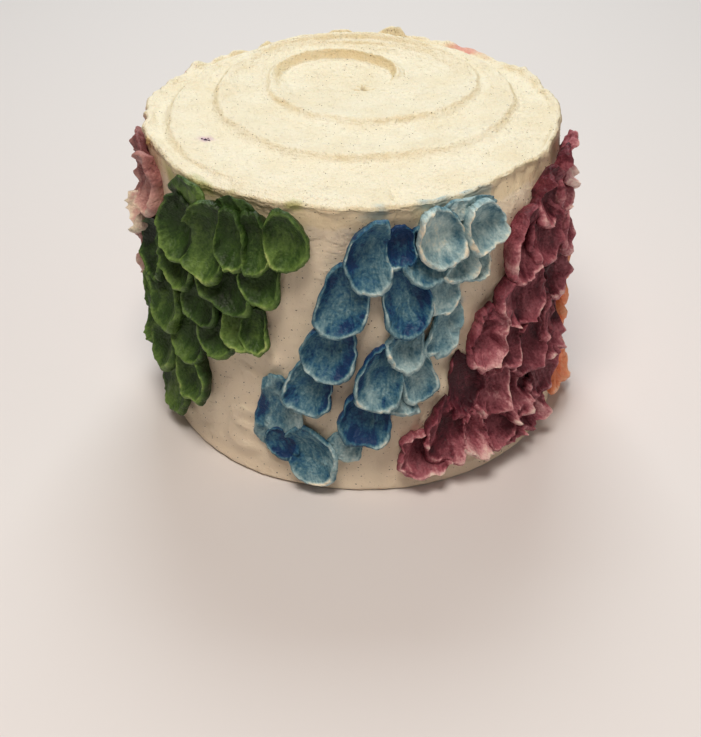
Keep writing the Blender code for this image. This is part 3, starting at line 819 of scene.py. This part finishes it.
def petal_material(name, stops, edge_gain, hollow_shade_gain, marble):
    """Coloured buttercream: marbled along each dab, with painted shade in patches just inside the rim, paler on thin
    rims.
    """
    nodes = Nodes(name)
    place = nodes.add("ShaderNodeTexCoord").outputs["Object"]
    grain = nodes.attribute("grain", vector=True)
    stretched = nodes.add("ShaderNodeMapping", Vector=grain)
    stretched.inputs["Scale"].default_value = (1.0, 0.45, 1.0)
    streak = nodes.noise(stretched.outputs[0], 0.18, 5.0, 1.8)
    thin = nodes.noise(stretched.outputs[0], 0.7, 3.0, 0.8)
    speck = nodes.noise(place, 1000.0, 2.0)
    swing = nodes.maths("MULTIPLY", nodes.maths("SUBTRACT", streak, 0.5), marble * 2.0)
    swing = nodes.maths("ADD", swing, nodes.maths("MULTIPLY", nodes.maths("SUBTRACT", thin, 0.5), marble * 1.2))
    swing = nodes.maths("ADD", swing, nodes.maths("MULTIPLY", nodes.maths("SUBTRACT", speck, 0.5), marble * 1.1))
    torn = nodes.maths("MULTIPLY", nodes.maths("SUBTRACT", nodes.noise(place, 170.0, 3.0), 0.36), 4.0, clamp=True)
    here = nodes.maths("MULTIPLY", nodes.maths("SUBTRACT", nodes.noise(place, 60.0, 2.0), 0.4), 5.0, clamp=True)
    torn = nodes.maths("ADD", nodes.maths("MULTIPLY", torn, nodes.maths("ADD", here, 0.25)), 0.1)
    rim = nodes.maths("MULTIPLY", nodes.maths("MULTIPLY", nodes.attribute("edge"), torn), edge_gain)
    near = nodes.add("ShaderNodeMapRange", interpolation_type="SMOOTHSTEP")
    nodes.feed(near.inputs["Value"], nodes.attribute("inner"))
    near.inputs["From Min"].default_value = 0.4
    near.inputs["From Max"].default_value = 0.85
    # Painted shade: the face darkens in patches just inside the rim, where its hollow lies.
    patch = nodes.maths("MULTIPLY", nodes.maths("SUBTRACT", nodes.noise(place, 70.0, 3.0), 0.42), 4.0, clamp=True)
    painted_hollow_shade = nodes.maths("MULTIPLY", nodes.maths("SUBTRACT", 1.0, nodes.attribute("edge")), near.outputs[0])
    painted_hollow_shade = nodes.maths("MULTIPLY", nodes.maths("MULTIPLY", painted_hollow_shade, patch), hollow_shade_gain)
    level = nodes.maths("ADD", nodes.maths("ADD", nodes.attribute("tone"), swing), rim)
    level = nodes.maths("SUBTRACT", level, painted_hollow_shade)
    level = nodes.maths("MULTIPLY", level, 1 / 1.5, clamp=True)
    colour = nodes.ramp(level, *[(position / 1.5, value) for position, value in stops])
    rough = nodes.ramp(streak, (0.3, (0.45,) * 3), (0.7, (0.62,) * 3))
    fine = nodes.maths("ADD", speck, nodes.maths("MULTIPLY", nodes.noise(place, 450.0, 3.0), 1.6))
    return finish_shader(nodes, colour, rough, fine, 0.0005, 0.05)


def plain_material(name, colour, roughness):
    """A single mottled colour for specks, bits and crumbs."""
    nodes = Nodes(name)
    place = nodes.add("ShaderNodeTexCoord").outputs["Object"]
    mottle = nodes.noise(place, 300.0)
    dark = tuple(value * 0.7 for value in colour)
    shade = nodes.ramp(mottle, (0.3, dark), (0.7, colour))
    nodes.feed(nodes.shader.inputs["Base Color"], shade)
    nodes.shader.inputs["Roughness"].default_value = roughness
    return nodes.material


def floor_material():
    """A plain pale floor."""
    nodes = Nodes("floor_paint")
    nodes.shader.inputs["Base Color"].default_value = (*linear(224, 221, 222), 1.0)
    nodes.shader.inputs["Roughness"].default_value = 0.7
    return nodes.material


def scatter_mesh(name, places, corners):
    """Small angular grains: each is a squashed octahedron at a point, with a normal, a size and a turn."""
    points = []
    faces = []
    for spot, normal, size, turn in places:
        normal = normal / np.linalg.norm(normal)
        beside = np.cross(normal, (0.3, 0.5, 0.8))
        beside /= np.linalg.norm(beside)
        ahead = np.cross(normal, beside)
        start = len(points)
        for corner in range(corners):
            spin = turn + 2 * math.pi * corner / corners
            reach = size * (1.0 if corner % 2 else 0.65)
            points.append(spot + (beside * math.cos(spin) + ahead * math.sin(spin) * 0.7) * reach)
        points.append(spot + normal * size * 0.5)
        points.append(spot - normal * size * 0.5)
        for corner in range(corners):
            onward = (corner + 1) % corners
            faces.append((start + corner, start + onward, start + corners))
            faces.append((start + onward, start + corner, start + corners + 1))
    mesh = bpy.data.meshes.new(name)
    mesh.from_pydata((np.array(points) * MM).tolist(), [], faces)
    return mesh


def speck_mesh(name, body):
    """Ground vanilla all over the icing: tiny grains half sunk in the body's faces."""
    chance = np.random.default_rng(21)
    centres = np.empty(len(body.polygons) * 3, dtype=np.float32)
    normals = np.empty(len(body.polygons) * 3, dtype=np.float32)
    areas = np.empty(len(body.polygons), dtype=np.float32)
    body.polygons.foreach_get("center", centres)
    body.polygons.foreach_get("normal", normals)
    body.polygons.foreach_get("area", areas)
    centres = centres.reshape(-1, 3).astype(float) / MM
    normals = normals.reshape(-1, 3).astype(float)
    likely = areas.astype(float) * (centres[:, 2] > 1.5) * np.where(normals[:, 2] > 0.8, 0.5, 1.0)
    chosen = chance.choice(len(areas), SPECKS, p=likely / likely.sum())
    sizes = 0.15 + 0.38 * chance.random(SPECKS) ** 2.5
    sizes = sizes * np.where(normals[chosen, 2] > 0.8, 0.8, 1.0)
    places = [
        (centres[face], normals[face], size, spin)
        for face, size, spin in zip(chosen, sizes, chance.uniform(0, 6.28, SPECKS))]
    return scatter_mesh(name, places, 4)


def bit_mesh(name, places, sizes, rows):
    """Dark bits that lie on the top, each at the height of the nearest point of the icing."""
    top = np.concatenate(rows[:TOP_RINGS])
    grains = []
    for index, (place, size) in enumerate(zip(places, sizes)):
        nearest = np.argmin(np.hypot(top[:, 0] - place[0], top[:, 1] - place[1]))
        spot = leaning(np.array([*place, top[nearest, 2] + 0.1])) / MM
        grains.append((spot, np.array([0.1, 0.0, 1.0]), size, 1.3 * index))
    return scatter_mesh(name, grains, 6)


def crumb_mesh(name):
    """Brown crumbs on the side."""
    grains = []
    for index, (angle, height, size) in enumerate(CRUMBS):
        spot = round_points(angle, RADIUS + 0.4, height)
        normal = spot * (1.0, 1.0, 0.0)
        grains.append((leaning(spot) / MM, normal, size, 0.7 * index))
    return scatter_mesh(name, grains, 6)


def scene_camera():
    """The camera at the photographer's place."""
    data = bpy.data.cameras.new("camera")
    data.lens = CAMERA_LENS
    data.clip_start = 0.01
    camera = bpy.data.objects.new("camera", data)
    camera.location = CAMERA_PLACE
    camera.rotation_euler = (math.radians(90 - CAMERA_PITCH), math.radians(CAMERA_ROLL), 0.0)
    bpy.context.scene.collection.objects.link(camera)
    bpy.context.scene.camera = camera


def area_light(name, place, aim, size, power, colour):
    """A soft square light that looks at a point."""
    data = bpy.data.lights.new(name, "AREA")
    data.size = size
    data.energy = power
    data.color = colour
    light = bpy.data.objects.new(name, data)
    direction = np.array(aim) - np.array(place)
    light.location = place
    flat = math.hypot(direction[0], direction[1])
    light.rotation_euler = (math.atan2(flat, -direction[2]), 0.0, math.atan2(direction[1], direction[0]) - math.pi / 2)
    bpy.context.scene.collection.objects.link(light)


def stage():
    """The pale floor, the soft light and the world."""
    form = bpy.data.meshes.new("floor")
    form.from_pydata([(-3, -3, 0), (3, -3, 0), (3, 3, 0), (-3, 3, 0)], [], [(0, 1, 2, 3)])
    floor = bpy.data.objects.new("floor", form)
    floor.location = (0, 0, -0.0005)
    form.materials.append(floor_material())
    bpy.context.scene.collection.objects.link(floor)
    world = bpy.data.worlds.new("world")
    world.use_nodes = True
    shade = world.node_tree.nodes["Background"]
    shade.inputs[0].default_value = (1.0, 0.78, 0.66, 1.0)
    shade.inputs[1].default_value = 0.13
    bpy.context.scene.world = world
    area_light("key", (0.00, 0.80, 1.00), (0.0, 0.0, 0.1), 0.6, 8.5, (0.92, 1.0, 1.0))
    area_light("overhead", (-0.09, -0.46, 1.10), (0.0, 0.0, 0.1), 0.4, 9.4, (1.0, 0.90, 0.80))
    area_light("fill", (0.75, -0.35, 0.35), (0.0, 0.0, 0.04), 0.6, 0.7, (1.0, 0.95, 0.88))
    bpy.context.scene.view_settings.view_transform = "Standard"


def main():
    ivory = ivory_material()
    rows = icing_rows()
    crown = rows[0].mean(axis=0)
    mesh = grid_mesh("cake_icing", rows, crown)
    icing_values(mesh)
    icing = smooth_piece("cake_icing", mesh, ivory)
    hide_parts("cake")
    specks = speck_mesh("vanilla_specks", mesh)
    smooth_piece("vanilla_specks", specks, plain_material("vanilla", linear(62, 46, 34), 0.6))
    bits = bit_mesh("purple_bits", [(x, y) for x, y, _ in PURPLE_BITS], [size for _, _, size in PURPLE_BITS], rows)
    smooth_piece("purple_bits", bits, plain_material("purple", linear(58, 34, 62), 0.5))
    smooth_piece("crumbs", crumb_mesh("crumbs"), plain_material("crumb", linear(120, 84, 50), 0.8))

    green = petal_material(
        "green_petals",
        ((0.0, linear(20, 38, 12)), (0.45, linear(52, 80, 32)), (0.9, linear(108, 138, 66)), (1.5, linear(184, 200, 122))),
        0.5, 0.35, 0.3)
    blue = petal_material(
        "blue_petals",
        ((0.0, linear(10, 52, 98)), (0.2, linear(34, 88, 122)), (0.42, linear(74, 118, 136)),
         (0.75, linear(134, 166, 174)), (1.1, linear(184, 206, 206)), (1.5, linear(242, 234, 212))),
        0.6, 0.5, 0.5)
    burgundy = petal_material(
        "burgundy_petals",
        ((0.0, linear(60, 14, 28)), (0.4, linear(106, 42, 55)), (0.8, linear(158, 88, 99)), (1.1, linear(204, 148, 152)),
         (1.5, linear(232, 206, 196))),
        0.5, 0.3, 0.5)
    petal_band("petals_green", GREEN_PETALS, green, 0.42, FINE)
    petal_band("petals_blue", BLUE_PETALS, blue, 0.45, FINE)
    petal_band("petals_burgundy", BURGUNDY_PETALS, burgundy, 1.0, FINE)
    others = (
        ("orange", even_petals("orange", 113.0, pressed=0.35), (206, 96, 58), (232, 134, 92), (242, 176, 138)),
        ("coral", even_petals("coral", 150.0), (206, 78, 78), (234, 116, 108), (242, 160, 146)),
        ("yellow", even_petals("yellow", 195.0), (206, 152, 62), (232, 188, 96), (242, 212, 140)),
        ("red", even_petals("red", 243.0, pressed=0.4), (152, 34, 42), (190, 62, 66), (214, 110, 106)),
        ("mauve", MAUVE_PETALS + even_petals("mauve", 276.0, 1), (118, 70, 72), (158, 106, 104), (198, 154, 146)))
    for name, petals, dark, mid, light in others:
        stops = ((0.0, linear(*dark)), (0.4, linear(*mid)), (0.9, linear(*light)), (1.5, linear(236, 224, 200)))
        material = petal_material(name + "_petals", stops, 0.4, 0.2, 0.45)
        seen = name == "mauve"
        petal_band("petals_" + name, petals, material, 0.9 if seen else 0.6, MIDDLE if seen else COARSE)


main()
stage()
scene_camera()
